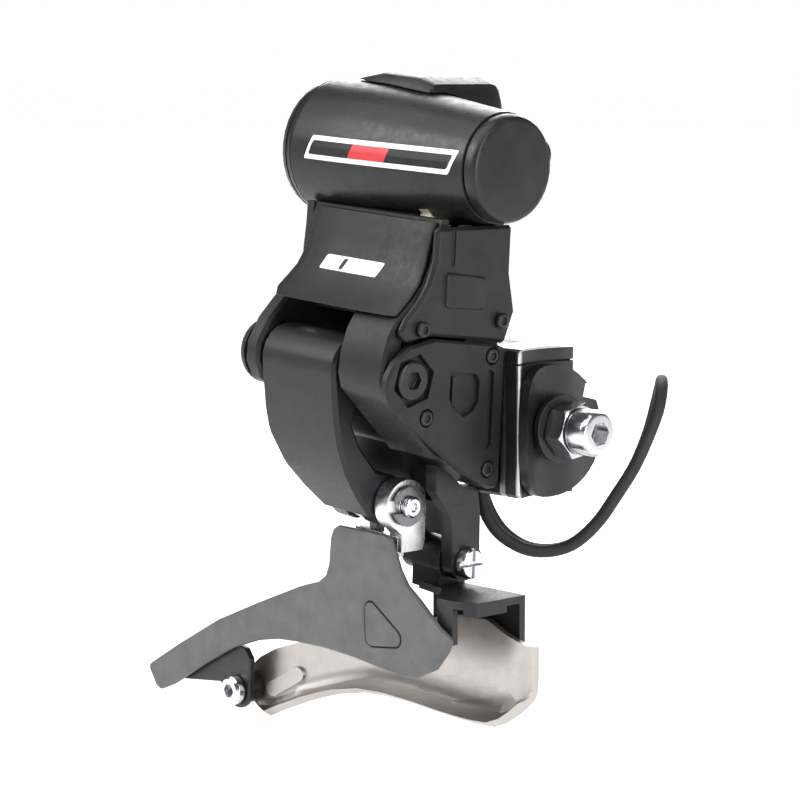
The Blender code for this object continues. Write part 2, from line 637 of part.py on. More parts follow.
def build_seat():
    slope = math.tan(math.radians(TILT_DEG))
    back_top = -8.9 + slope * SEAT_TOP
    back_low = -8.9 + slope * SEAT_BOTTOM
    outline = [(back_low, SEAT_BOTTOM), (2.0, SEAT_BOTTOM), (2.0, SEAT_TOP), (back_top, SEAT_TOP)]
    half = SEAT_HALF_WIDTH
    body = prism([(x, z) for x, z in outline], "y", -half, half)
    round_edges(body, 0.7)
    step = 5.2
    facets = 7
    half_angle = step * facets
    hollow = seat_arc(SEAT_R / math.cos(math.radians(step)), half_angle, facets)
    cut(body, prism([(16, 14), (16, -14)] + hollow, "z", -20, 20))
    cut(body, rod("x", (0, 0), BOLT_R + 0.15, -20, 5))
    # a shallow groove parts the exposed upper land from the clamped face
    cut(body, block(-0.4, 6, -9, 9, LAND_BOTTOM - 0.3, LAND_BOTTOM))
    # two machined grooves down the outer flank
    cut(body, block(-4.6, -3.4, -8, -7.0, -9.5, 12), block(-7.0, -6.2, -8, -7.1, -9.5, 12))
    finish(body, "seat_bracket", "black_alloy", LEVEL)

    shell = seat_arc(SEAT_R - FIT, 44, 16)
    shell += list(reversed(seat_arc(SEAT_R - FIT - 1.9, 44, 16)))
    washer = prism(shell, "z", -14, 14)
    outline = []
    for i in range(40):
        a = 2 * math.pi * i / 40
        outline.append((9.3 * math.copysign(abs(math.cos(a)) ** 0.85, math.cos(a)),
                        -0.7 + 12.0 * math.copysign(abs(math.sin(a)) ** 0.85, math.sin(a))))
    keep(washer, prism(outline, "x", -3, 12))
    cut(washer, prism([(6.6, 5.2), (12, 3.6), (12, 7.4), (7.0, 7.6)], "x", -3, 12))
    cut(washer, rod("x", (0, 0), BOLT_R + 0.25, -5, 12))
    finish(washer, "curved_washer", "black_alloy", LEVEL)

    bore = BOLT_R + 0.2
    profile = [(2.9, bore), (2.9, 3.0), (4.0, 6.2), (5.2, 6.2), (5.2, bore)]
    finish(ring("x", (0, 0), profile), "dished_washer", "black_alloy", LEVEL)

    nut = prism(hex_outline((0, 0), 9.0, 12), "x", 5.5, 9.6)
    keep(nut, turned("x", (0, 0), [(5.5, 4.7), (6.0, 5.4), (9.0, 5.4), (9.6, 4.6)], 24))
    cut(nut, rod("x", (0, 0), bore, 4, 11))
    finish(nut, "hex_nut", "steel", LEVEL)

    profile = [(-7.6, 2.1), (-7.2, BOLT_R), (9.9, BOLT_R), (9.9, 4.2), (13.2, 4.2), (14.2, 3.7),
               (14.5, 3.0)]
    bolt = turned("x", (0, 0), profile, 24)
    cut(bolt, prism(hex_outline((0, 0), 4.0, 5), "x", 11.4, 16))
    finish(bolt, "mounting_bolt", "steel", LEVEL)


# ------------------------------------------------------------ fixed pivots

def build_fixed_pivots():
    lo = EAR_BACK - 0.1
    pin = turned("x", PIVOT_A, [(lo, 2.2), (lo + 0.4, PIN_R), (-3.1, PIN_R), (-3.1, 3.5),
                                (-2.4, 3.5), (-2.1, 3.1)], 24)
    cut(pin, prism(hex_outline(PIVOT_A, 3.0), "x", -3.4, 0))
    finish(pin, "upper_outer_pin", "steel")
    cap = turned("x", PIVOT_A, [(-44.4, 3.4), (-44.0, 4.8), (-43.3, 5.7), (-42.4, 6.1),
                                (EAR_BACK - FIT, 6.1)], 32)
    finish(cap, "rear_pivot_cap", "black_plastic")
    pin = turned("x", PIVOT_B, [(EAR_BACK + 0.2, 1.7), (EAR_BACK + 0.5, 2.0), (-9.0, 2.0),
                                (-8.8, 1.7)], 24)
    finish(pin, "upper_inner_pin", "steel")
    screw = pan_screw("z", STOP_SCREW, -4.8, 2.4, 1.0, 1.7, 1.4, 1.6, toward=-1)
    finish(screw, "stop_screw", "steel")


# ------------------------------------------------- moving links and the arm

def arc_points(centre, radius, start_deg, end_deg, count):
    pts = []
    for i in range(count + 1):
        a = math.radians(start_deg + (end_deg - start_deg) * i / count)
        pts.append((centre[0] + radius * math.cos(a), centre[1] + radius * math.sin(a)))
    return pts


def arm_outline():
    """Curved bar from the upper eye to the lower eye, seen along the pins."""
    upper = arc_points(PIVOT_A, 5.9, 20, 190, 9)
    outer = [(-35.3, 5.5), (-34.7, 1), (-33.5, -4), (-31.5, -9), (-28.7, -13.4), (-25.6, -17.2)]
    lower = arc_points(PIVOT_C, 4.6, 215, 395, 9)
    inner = [(-19.6, -10.2), (-24.4, -8.6), (-28.4, -4), (-30.6, 0.5), (-29, 4.6), (-24.8, 7.6)]
    return upper + outer + lower + inner


def build_outer_arm():
    arm = prism(arm_outline(), "x", ARM_BACK, ARM_FRONT)
    round_edges(arm, 0.7, 60)
    # the rear edge runs in toward the lower eye
    taper = [(-50, 4), (ARM_BACK - 0.4, 3), (-36.4, -4), (-34.4, -10), (-31.6, -14.5),
             (-29.6, -17.5), (-29, -30), (-50, -30)]
    cut(arm, prism(taper, "y", -60, 0))
    join(arm, rod("x", PIVOT_A, SLEEVE_R, ARM_FRONT - 1, -9.4, 24))
    cut(arm, rod("x", PIVOT_A, PIN_R + RUN, -60, 0, 24))
    cut(arm, rod("x", PIVOT_A, BUSH_R + 0.05, ARM_BACK - 1, ARM_BACK + 5))
    cut(arm, rod("x", PIVOT_A, BUSH_R + 0.05, ARM_FRONT - 4, ARM_FRONT + 1.5))
    cut(arm, rod("x", PIVOT_C, LOWER_PIN_R + 0.1, -60, 0, 24))
    cut(arm, rod("x", PIVOT_C, 3.2, -60, -29.7, 24))
    # window between the two lower eyes where the cage lug's rear ear works
    cut(arm, prism(circle(PIVOT_C, 5.6, 24), "x", -25.6, -21.4))
    finish(arm, "outer_arm", "arm_alloy", TILT, (ARM_BACK, *PIVOT_A))
    for end, lo in (("rear", ARM_BACK + 0.2), ("front", ARM_FRONT - 3.8)):
        bush = sleeve("x", PIVOT_A, PIN_R + 0.1, BUSH_R, lo, lo + 4.0)
        finish(bush, "arm_bush_" + end, "brass", TILT, (ARM_BACK, *PIVOT_A))


def build_inner_link():
    lo = -37.2
    hi = -16.8
    bar = [(PIVOT_B[0] - 2.9, PIVOT_B[1]), (PIVOT_B[0] + 2.9, PIVOT_B[1]),
           (-11.4, -9), (-8.8, -14), (PIVOT_D[0] + 2.7, PIVOT_D[1]),
           (PIVOT_D[0] - 2.7, PIVOT_D[1]), (-13.8, -15), (-17.4, -9)]
    link = prism(bar, "x", lo - 1, 0)
    face = [(lo, 6), (hi, 6), (hi, -14.9), (-8.6, -14.9), (-8.6, -32), (-11.5, -32),
            (-11.5, -20.9), (-15.6, -20.9), (-17.4, -18.4), (-19.8, -19.6), (-19.8, -32),
            (-22.4, -32), (-22.4, -21.4), (-28, -12.4), (-34, -7.4), (lo, -5)]
    keep(link, prism(face, "y", -60, 20))
    cheek = [(-17.6, -7.2), (-14.3, -8.8), (-10.7, -11.8), (-7.2, -11.8), (-6.2, -17), (-5.9, -25.8),
             (-12.7, -25.8), (-13.4, -17), (-17.4, -12)]
    join(link, prism(cheek, "x", -11.45, -8.65))
    join(link, rod("x", PIVOT_B, 4.0, lo + 0.02, hi - 0.02))
    join(link, rod("x", PIVOT_D, 3.5, -11.48, -8.58), rod("x", PIVOT_D, 3.5, -22.38, -19.82))
    cut(link, rod("x", PIVOT_B, 2.0 + RUN, -60, 0))
    cut(link, rod("x", PIVOT_D, 2.0 + RUN, -60, 0))
    cut(link, rod("x", PIVOT_B, 2.8, lo - 1, lo + 4), rod("x", PIVOT_B, 2.8, hi - 4, hi + 1))
    finish(link, "inner_link", "black_alloy", TILT, (lo, *PIVOT_B))
    for end, start in (("rear", lo + 0.1), ("front", hi - 3.9)):
        bush = sleeve("x", PIVOT_B, 2.0 + 0.12, 2.75, start, start + 3.8)
        finish(bush, "link_bush_" + end, "brass", TILT, (lo, *PIVOT_B))


# --------------------------------------------------------------- the cage


def cage_piece(obj, name, look, frame=LEVEL):
    """Cage pieces keep their origin on the lower outer pivot."""
    spot = frame.inverted() @ (TILT @ Vector(CAGE_PIVOT))
    return finish(obj, name, look, frame, spot)


def build_cage_pivots():
    lug = prism(circle(PIVOT_C, 4.8, 32), "x", -16.6, -13.3)
    leg = [(PIVOT_C[0] - 4.75, PIVOT_C[1]), (PIVOT_C[0] + 4.75, PIVOT_C[1]),
           (-15.4, -21.6), (-15.9, -23.6), (-21.1, -23.6), (-21.1, -20.4), (-22.4, -19.2)]
    join(lug, prism(leg, "x", -16.6, -13.3))
    foot = block(-26, -14.3, -21.15, -19.6, -24.6, -20.9)
    rear_ear = prism(circle(PIVOT_C, 4.0, 24), "x", -24.9, -22.1)
    rear_leg = block(-24.9, -22.1, -21.15, -17.4, -24, PIVOT_C[1])
    join(lug, foot, rear_ear, rear_leg)
    cut(lug, rod("x", PIVOT_C, LOWER_PIN_R + 0.05, -60, 0, 24))
    cage_piece(lug, "cage_lug", "bright_alloy", TILT)

    profile = [(-31.2, 2.2), (-30.9, 2.8), (-30.0, 2.8), (-30.0, LOWER_PIN_R),
               (-13.0, LOWER_PIN_R), (-13.0, 1.5), (-12.3, 1.5), (-12.3, 2.0), (-11.5, 2.0),
               (-11.2, 1.6)]
    pin = turned("x", PIVOT_C, profile, 24)
    cut(pin, rod("x", PIVOT_C, 0.8, -11.7, -11, 12))
    cage_piece(pin, "lower_outer_pin", "steel", TILT)

    clip = sleeve("x", PIVOT_C, 1.6, 3.7, -12.95, -12.35, 28)
    mouth = [(PIVOT_C[0] - 5, PIVOT_C[1] - 1.1), (PIVOT_C[0], PIVOT_C[1] - 1.1),
             (PIVOT_C[0], PIVOT_C[1] + 1.1), (PIVOT_C[0] - 5, PIVOT_C[1] + 1.1)]
    cut(clip, prism(mouth, "x", -14, -11))
    cage_piece(clip, "e_clip", "steel", TILT)

    screw = turned("x", PIVOT_D, [(-22.9, 1.6), (-22.6, 2.0), (-8.3, 2.0), (-8.3, 2.9),
                                  (-6.9, 2.9), (-6.5, 2.5)], 24)
    y = PIVOT_D[0]
    z = PIVOT_D[1]
    slot = block(-7.2, -6, y - 0.35, y + 0.35, z - 3.2, z + 3.2)
    cross = block(-7.2, -6, y - 3.2, y + 3.2, z - 0.35, z + 0.35)
    cut(screw, slot, cross)
    cage_piece(screw, "lower_inner_screw", "steel", TILT)


def build_cage_bridge():
    top = -29.6
    plan = [(-5, -21.2), (-1, -21.2), (3.4, -19.4), (3.4, -7.4), (-19.5, -7.4), (-19.5, -12.4),
            (-11, -14.4)]
    bridge = prism(plan, "z", top - 1.4, top)
    outer_lip = block(-5, -1, -21.2, -19.9, -37.6, top - 0.1)
    inner_lip = block(-19.5, 3.4, -8.8, -7.4, -39.5, top - 0.1)
    nose = prism([(1.6, -21), (3.4, -19.4), (3.4, -12), (1.6, -12)], "z", top - 2.6, top - 0.1)
    join(bridge, outer_lip, inner_lip, nose)
    tube = rod("x", PIVOT_D, 3.9, -19.4, -11.9, 24)
    web = block(-19.4, -11.9, PIVOT_D[0] - 3.2, PIVOT_D[0] + 3.2, -31.6, PIVOT_D[1] - 1)
    join(tube, web)
    tube.data.transform(TILT)
    join(bridge, tube)
    bore = rod("x", PIVOT_D, 2.05, -60, 0, 24)
    bore.data.transform(TILT)
    cut(bridge, bore)
    cage_piece(bridge, "cage_bridge", "black_alloy")


def build_outer_plate():
    outline = [(-30.2, -19.4), (-31.6, -20.2), (-32.4, -22), (-32.9, -27), (-33.8, -29.2),
               (-36, -30.8), (-41.6, -32.5), (-53.9, -37.4), (-66.3, -42.6), (-79.3, -49.6),
               (-88.6, -55), (-89, -56), (-86.6, -59.4), (-85.2, -59.9), (-81.1, -58.2),
               (-71, -52.4), (-62, -47.7), (-54, -44.9), (-48, -43.7), (-41.6, -43.3),
               (-34, -43.2), (-26.4, -43.6), (-18.9, -44.4), (-12.5, -45), (-8.6, -44.6),
               (-3.8, -42.3), (-0.8, -38.7), (0.1, -36.6), (-0.6, -35.7), (-3.1, -34.4),
               (-8.1, -30.4), (-11.6, -28), (-13.4, -25.6), (-14.8, -22.6), (-16, -20.2),
               (-17.4, -19.6)]
    back = OUTER_PLATE_Y + PLATE_T / 2
    front = OUTER_PLATE_Y - PLATE_T / 2
    plate = prism(outline, "y", front, back)
    round_edges(plate, 0.4, 60)
    pad = pad_outline(0.0)
    cut(plate, prism(pad, "y", front - 1, front + 0.7))
    cage_piece(plate, "cage_outer_plate", "plate_grey")
    inlay = prism(pad_outline(0.25), "y", front - 0.15, front + 0.45)
    round_edges(inlay, 0.15, 60)
    cage_piece(inlay, "plate_pad", "plate_grey")


def pad_outline(inset):
    """Rounded triangle on the outer plate, as (x, z)."""
    radius = 1.8 - inset
    pts = arc_points((-20.9, -34.0), radius, 50, 185, 5)
    pts += arc_points((-20.6, -39.0), radius, 185, 275, 4)
    pts += arc_points((-14.4, -38.2), radius, -85, 50, 5)
    return pts


def build_inner_plate():
    outer = []
    inner = []
    bend = (0.0, 0.0, 0.0, 0.35, 1.4, 3.2, 5.0)
    part = (0.0, 0.3, 0.6, 0.78, 0.9, 0.97, 1.0)
    for x, y, top, bottom in INNER_STATIONS:
        curl = min(1.0, max(0.25, (bottom - top) / -13.0)) * min(1.0, max(0.1, (x + 62) / 8))
        row_out = []
        row_in = []
        for b, p in zip(bend, part):
            z = top + (bottom - top) * p
            row_out.append((x, y - 0.6 - b * curl, z + 0.9 * p ** 6))
            row_in.append((x, y + 0.6 - 0.8 * b * curl, z - 0.3 * p ** 4))
        outer.append(row_out)
        inner.append(row_in)
    plate = grid_solid(outer, inner)
    pill = []
    for x, z, start in ((-57.2, -55.9, 110), (-51.4, -52.3, -70)):
        pill += arc_points((x, z), 1.5, start, start + 180, 6)
    rib = prism(pill, "y", -1.4, -0.1)
    for vertex in rib.data.vertices:
        vertex.co.y += -15.6 + 0.233 * (vertex.co.x + 58.6)
    join(plate, rib)
    cut(plate, rod("y", REAR_SCREW, 1.6, -30, 0, 16))
    cage_piece(plate, "cage_inner_plate", "satin_nickel")


def build_cage_rear():
    outline = [(-81, -57.2), (-68, -55.6)]
    outline += arc_points(REAR_SCREW, 3.7, 190, 350, 8)
    outline += [(-58.6, -53), (-58.4, -49.6), (-60, -47.6), (-66, -46.2), (-80, -52.8)]
    strap = prism(outline, "y", -21.2, -19.9)
    cut(strap, rod("y", REAR_SCREW, 1.6, -30, 0, 16))
    cage_piece(strap, "rear_strap", "black_alloy")
    tube = sleeve("y", REAR_SCREW, 1.65, 3.0, -19.6, -17.2, 20)
    cage_piece(tube, "rear_spacer", "black_plastic")
    screw = pan_screw("y", REAR_SCREW, -23.4, -13.4, 1.5, 2.9, 1.9, 2.5, toward=-1)
    cage_piece(screw, "rear_screw", "steel")
    nut = prism(hex_outline(REAR_SCREW, 5.0), "y", -14.5, -12.6)
    cut(nut, rod("y", REAR_SCREW, 1.6, -30, 0, 16))
    cage_piece(nut, "rear_nut", "steel")


# ------------------------------------------------------ signal cable, coil


def spline_points(knots, step):
    """Evenly spaced points on a smooth curve through the knots."""
    ends = [knots[0], *knots, knots[-1]]
    fine = []
    for i in range(1, len(ends) - 2):
        p0, p1, p2, p3 = (Vector(p) for p in ends[i - 1:i + 3])
        for k in range(24):
            t = k / 24
            fine.append(0.5 * (2 * p1 + (p2 - p0) * t + (2 * p0 - 5 * p1 + 4 * p2 - p3) * t * t
                               + (3 * p1 - p0 - 3 * p2 + p3) * t ** 3))
    fine.append(Vector(knots[-1]))
    total = sum((b - a).length for a, b in zip(fine, fine[1:]))
    count = round(total / step)
    pts = [fine[0]]
    run = 0.0
    for a, b in zip(fine, fine[1:]):
        length = (b - a).length
        while len(pts) < count and run + length >= total * len(pts) / count:
            part = (total * len(pts) / count - run) / length
            pts.append(a + (b - a) * part)
        run += length
    pts.append(fine[-1])
    return pts


def build_cable():
    pts = spline_points(CABLE_ROUTE, CABLE_STEP)
    curve = bpy.data.curves.new("signal_cable", "CURVE")
    curve.dimensions = "3D"
    curve.bevel_depth = CABLE_R * MM
    curve.bevel_resolution = 2
    curve.use_fill_caps = True
    line = curve.splines.new("POLY")
    line.points.add(len(pts) - 1)
    for spot, p in zip(line.points, pts):
        spot.co = (*(p * MM), 1.0)
    cable = bpy.data.objects.new("signal_cable", curve)
    bpy.context.scene.collection.objects.link(cable)
    curve.materials.append(material("mat_signal_cable", *LOOKS["rubber"]))

    gland = turned("z", (-11.6, -3.3), [(-13.5, 1.9), (-13.2, 2.2), (-12.0, 2.5), (-10.9, 2.5)], 20)
    finish(gland, "cable_gland", "rubber")

    h = COIL_HALF
    r = COIL_MEAN_R
    loop = [(COIL_Y - h, r - 0.6 * h), (COIL_Y - h, r + 0.6 * h), (COIL_Y - 0.6 * h, r + h),
            (COIL_Y + 0.6 * h, r + h), (COIL_Y + h, r + 0.6 * h), (COIL_Y + h, r - 0.6 * h),
            (COIL_Y + 0.6 * h, r - h), (COIL_Y - 0.6 * h, r - h)]
    finish(ring("y", COIL_CENTRE, loop, 36), "cable_coil", "rubber", LEVEL)

    x, z = COIL_CENTRE
    low = z - r
    outer = block(x - 1.6, x + 1.6, COIL_Y - h - 1.1, COIL_Y + h + 1.1, low - h - 1.1, low + h + 1.5)
    round_edges(outer, 0.5)
    cut(outer, block(x - 3, x + 3, COIL_Y - h - FIT, COIL_Y + h + FIT, low - h - FIT,
                     low + h + 0.7))
    finish(outer, "coil_tie", "rubber", LEVEL)

    y = COIL_Y
    start = x - r + h + FIT + 0.25
    profile = [(start, 1.9), (start + 2.5, 2.2), (start + 3.5, 2.2), (start + 3.7, 2.7),
               (start + 9.5, 2.7), (start + 9.7, 2.2), (start + 12.5, 2.2)]
    plug = turned("x", (y, z), profile, 20)
    cut(plug, rod("x", (y, z), 1.5, start + 9.5, start + 14, 16))
    finish(plug, "cable_connector", "black_plastic", LEVEL)


def main():
    clear_scene()
    build_main_body()
    build_case_covers()
    build_neck_cover()
    build_barrel()
    build_electronics_cover()
    build_seat()
    build_fixed_pivots()
    build_gears()
    build_outer_arm()
    build_inner_link()
    build_cage_pivots()
    build_cage_bridge()
    build_outer_plate()
    build_inner_plate()
    build_cage_rear()
    build_cable()


main()
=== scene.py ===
"""Looks for the electronic front derailleur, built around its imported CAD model."""

import json
import math

import bmesh
import bpy
from mathutils import Matrix, Vector
from mathutils.bvhtree import BVHTree


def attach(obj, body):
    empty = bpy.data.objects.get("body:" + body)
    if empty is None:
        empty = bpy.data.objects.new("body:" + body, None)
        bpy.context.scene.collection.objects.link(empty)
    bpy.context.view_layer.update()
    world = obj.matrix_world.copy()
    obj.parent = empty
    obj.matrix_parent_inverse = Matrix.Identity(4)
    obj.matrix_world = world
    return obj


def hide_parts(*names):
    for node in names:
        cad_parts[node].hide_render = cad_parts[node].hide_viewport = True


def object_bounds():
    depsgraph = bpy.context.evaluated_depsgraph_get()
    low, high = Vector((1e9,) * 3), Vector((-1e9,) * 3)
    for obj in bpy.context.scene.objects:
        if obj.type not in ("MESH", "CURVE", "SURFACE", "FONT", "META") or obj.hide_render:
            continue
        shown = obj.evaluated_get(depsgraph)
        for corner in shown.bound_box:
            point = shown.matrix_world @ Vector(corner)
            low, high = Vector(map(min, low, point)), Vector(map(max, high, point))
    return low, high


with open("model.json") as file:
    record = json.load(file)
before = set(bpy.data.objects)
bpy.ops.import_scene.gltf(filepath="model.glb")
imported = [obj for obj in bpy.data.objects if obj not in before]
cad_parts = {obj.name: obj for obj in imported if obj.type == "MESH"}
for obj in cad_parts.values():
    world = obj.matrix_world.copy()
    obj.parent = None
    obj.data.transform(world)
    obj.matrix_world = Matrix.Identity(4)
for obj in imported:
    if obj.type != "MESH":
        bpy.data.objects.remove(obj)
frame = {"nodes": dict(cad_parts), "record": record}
cad_low, cad_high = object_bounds()

MM = 0.001
TILT = Matrix.Rotation(math.radians(3.5), 4, "Y")
CABLE_R = 1.2

# camera, in mm and degrees
CAM_TARGET = (-15.7, -20.5, 5.0)
CAM_AZIMUTH = 48.0
CAM_ELEVATION = 7.0
CAM_DISTANCE = 480.0
CAM_LENS = 120.0

# cable, listed points of its centre line in mm
CABLE_ROUTE = (
    (-12.4, -3.3, -13.0), (-12.1, -3.1, -15.2), (-11.4, -2.5, -18.0), (-9.5, -1.0, -21.1),
    (-6.3, 2.0, -23.6), (-3.2, 5.4, -24.0), (-0.3, 8.8, -22.6), (2.2, 12.2, -18.9),
    (3.9, 15.1, -14.3), (5.8, 18.2, -8.7), (7.1, 20.7, -2.8), (7.4, 22.8, 1.8),
    (5.6, 25.6, 4.9), (2.0, 29.6, 6.1), (-2.2, 34.0, 4.8), (-5.8, 36.82, 1.0),
    (-7.7, 36.72, -5.0), (-9.1, 34.2, -11.9), (-11.0, 31.0, -17.8), (-12.8, 28.2, -22.4),
    (-15.5, 24.4, -26.4), (-18.5, 20.9, -27.7), (-21.7, 17.3, -27.0), (-25.1, 14.5, -24.0),
    (-27.6, 12.8, -19.2), (-28.4, 11.2, -12.8), (-26.0, 8.4, -7.0), (-21.4, 4.0, -2.2),
    (-17.8, 0.6, 1.8), (-17.0, -1.5, 6.6), (-17.3, -2.1, 10.6))
COIL_X, COIL_Y, COIL_Z = -27.0, -1.9, 22.0
COIL_R = 11.0
COIL_TURNS = 4
COIL_TWIST_R = 1.77
COIL_START = -28.0
COIL_END = (
    (-19.0, -1.9, 17.3), (-18.5, -1.9, 19.2), (-19.2, -1.9, 21.1), (-20.9, -1.9, 21.95),
    (-22.8, -1.9, 22.0), (-25.4, -1.9, 22.0))
COIL_LEAN = -20.0              # degrees, where the twist of the turns begins
COIL_STEPS = 36                # points a turn
CABLE_STEP = 1.1               # mm between points of the cable
KNOT_STEPS = 16                # fine points between two knots

# labels: middle, x and z in the tilted frame, and size in mm
BARREL_LABEL = (-20.8, 47.9)
BARREL_BORDER_SIZE = (35.6, 4.4)
BARREL_CORE_SIZE = (34.0, 2.6)
BARREL_MIDDLE_SIZE = (9.0, 2.6)
BARREL_MIDDLE_SHIFT = -2.0
NECK_LABEL = (-22.6, 28.0)
NECK_BAR_SIZE = (15.5, 2.6)
NECK_GAP_SIZE = (1.0, 2.0)
NECK_GAP_SHIFT = -2.2
LABEL_SHEAR = 0.45
LABEL_LIFTS = (0.07, 0.11, 0.15)   # height of each printed layer over the surface, mm
LABEL_FOOT = 0.02              # height of a layer's underside, mm
LABEL_GRID = (36, 8)           # cells along and across a label
LABEL_END = 0.8                # mm of rounding at each end
LABEL_ROUND = 0.4              # mm that the rounding takes off the half height
RAY_START_Y = -60.0            # mm, in front of the part

# width of the rounded edge in mm where it isn't the usual one
EDGE_WIDTHS = {
    "outer_arm": 0.5,
    "inner_link": 0.35,
    "main_body": 0.4,
    "front_plate": 0.3,
    "neck_cover": 0.3,
    "motor_housing": 0.3,
    "electronics_cover": 0.5,
    "cage_outer_plate": 0.35,
    "cage_inner_plate": 0.3,
    "cage_lug": 0.3,
    "cage_bridge": 0.5,
    "rear_strap": 0.3,
    "seat_bracket": 0.25,
    "plate_pad": 0.3,
}
EDGE_WIDTH = 0.12
SMALLEST_ANGLE = math.radians(34)
FLAT_ANGLE = math.radians(0.6)     # neighbouring triangles flatter than this join up
WELD_DISTANCE = 1e-6               # m

# looks of the nodes that don't take the look of their material slot
NODE_LOOKS = {
    "motor_housing": "barrel_black",
    "front_cap": "barrel_black",
    "rear_cap": "barrel_black",
    "e_clip": "dark_steel",
    "seat_bracket": "seat_painted_highlights",
}

# colours
MOULDED_BLACK = (0.009, 0.009, 0.0098)
ANODISED_BLACK = (0.012, 0.012, 0.013)
BOARD_GREEN = (0.01, 0.09, 0.035)
# grey of the painted highlight bands and top on the seat
PAINTED_HIGHLIGHT_GREY = (0.55, 0.55, 0.56)
FLOOR_WHITE = (0.9, 0.9, 0.9)

# painted highlight bands on the seat, with the top above SEAT_TOP_Z painted bright as well: middle
# and half width along its x, mm
NARROW_BAND = (-2.5, 0.7)
FRONT_BAND = (2.0, 1.1)
FLANK_Y = 6.5                  # mm from the seat's middle plane to its flanks
SEAT_TOP_Z = 14.1              # mm, the bright top starts here

# studio
FLOOR_RADIUS = 6.0             # m
FLOOR_GAP = 1.5                # mm under the part
FLOOR_GLOW = 0.42
WORLD_LOW = 1.0
WORLD_HIGH = 0.12
WORLD_FADE = (0.05, 0.22)      # heights of a direction between which the world darkens
LIGHT_AIM = (-20, -15, 5)      # mm
SKY_TOWARDS = (0.3, 0.45, -1.0)
SKY_STRENGTH = 2.0
SKY_ANGLE = 60.0               # degrees

# name, place in mm, size in m, power in W
LIGHTS = (
    ("key", (-330, -460, 330), (0.3, 0.3), 2.4),
    ("side", (480, -60, 200), (0.12, 0.5), 2.6),
    ("back", (-380, 420, 300), (0.4, 0.4), 3.0),
)


# ------------------------------------------------------------ small helpers

def new_object(name, data, body):
    obj = bpy.data.objects.new(name, data)
    bpy.context.scene.collection.objects.link(obj)
    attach(obj, body)
    return obj


def smooth_line(knots, step):
    """Evenly spaced points on a smooth curve through the knots."""
    ends = [knots[0], *knots, knots[-1]]
    fine = []
    for i in range(1, len(ends) - 2):
        p0, p1, p2, p3 = (Vector(p) for p in ends[i - 1:i + 3])
        for k in range(KNOT_STEPS):
            t = k / KNOT_STEPS
            fine.append(0.5 * (2 * p1 + (p2 - p0) * t
                               + (2 * p0 - 5 * p1 + 4 * p2 - p3) * t * t
                               + (3 * p1 - p0 - 3 * p2 + p3) * t ** 3))
    fine.append(Vector(knots[-1]))
    points = [fine[0]]
    for p in fine[1:-1]:
        if (p - points[-1]).length >= step:
            points.append(p)
    points.append(fine[-1])
    return points


# ------------------------------------------------------------------- camera

def make_camera():
    azimuth, elevation = math.radians(CAM_AZIMUTH), math.radians(CAM_ELEVATION)
    back = Vector((math.sin(azimuth) * math.cos(elevation),
                   -math.cos(azimuth) * math.cos(elevation), math.sin(elevation)))
    data = bpy.data.cameras.new("camera")
    data.lens = CAM_LENS
    data.sensor_width = 36.0
    data.clip_start = 0.01
    camera = bpy.data.objects.new("camera", data)
    bpy.context.scene.collection.objects.link(camera)
    camera.location = (Vector(CAM_TARGET) + back * CAM_DISTANCE) * MM
    camera.rotation_mode = "QUATERNION"
    camera.rotation_quaternion = (-back).to_track_quat("-Z", "Y")
    bpy.context.scene.camera = camera


# -------------------------------------------------------------------- cable

def coil_points():
    """Four turns that twist once about their common ring, so no turn crosses another."""
    points = []
    for i in range(COIL_TURNS * COIL_STEPS + 1):
        angle = math.radians(COIL_START) + 2 * math.pi * i / COIL_STEPS
        twist = math.radians(COIL_LEAN) + angle / COIL_TURNS
        r = COIL_R + COIL_TWIST_R * math.cos(twist)
        points.append((COIL_X + r * math.cos(angle), COIL_Y + COIL_TWIST_R * math.sin(twist),
                       COIL_Z + r * math.sin(angle)))
    return points


def cable_points():
    return smooth_line([*CABLE_ROUTE, *coil_points(), *COIL_END], CABLE_STEP)


def build_cable():
    points = cable_points()
    curve = bpy.data.curves.new("cable", "CURVE")
    curve.dimensions = "3D"
    curve.bevel_depth = CABLE_R * MM
    curve.bevel_resolution = 4
    curve.use_fill_caps = True
    line = curve.splines.new("POLY")
    line.points.add(len(points) - 1)
    for spot, p in zip(line.points, points):
        spot.co = (*(p * MM), 1.0)
    route = bpy.data.objects.new("cable_route", curve)
    bpy.context.scene.collection.objects.link(route)
    bpy.context.view_layer.update()
    tube = bpy.data.meshes.new_from_object(
        route.evaluated_get(bpy.context.evaluated_depsgraph_get()))
    bpy.data.objects.remove(route)
    tube.shade_smooth()
    cable = new_object("cable", tube, "case")
    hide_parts("signal_cable", "cable_coil")
    return cable


# ---------------------------------------------------------------- materials

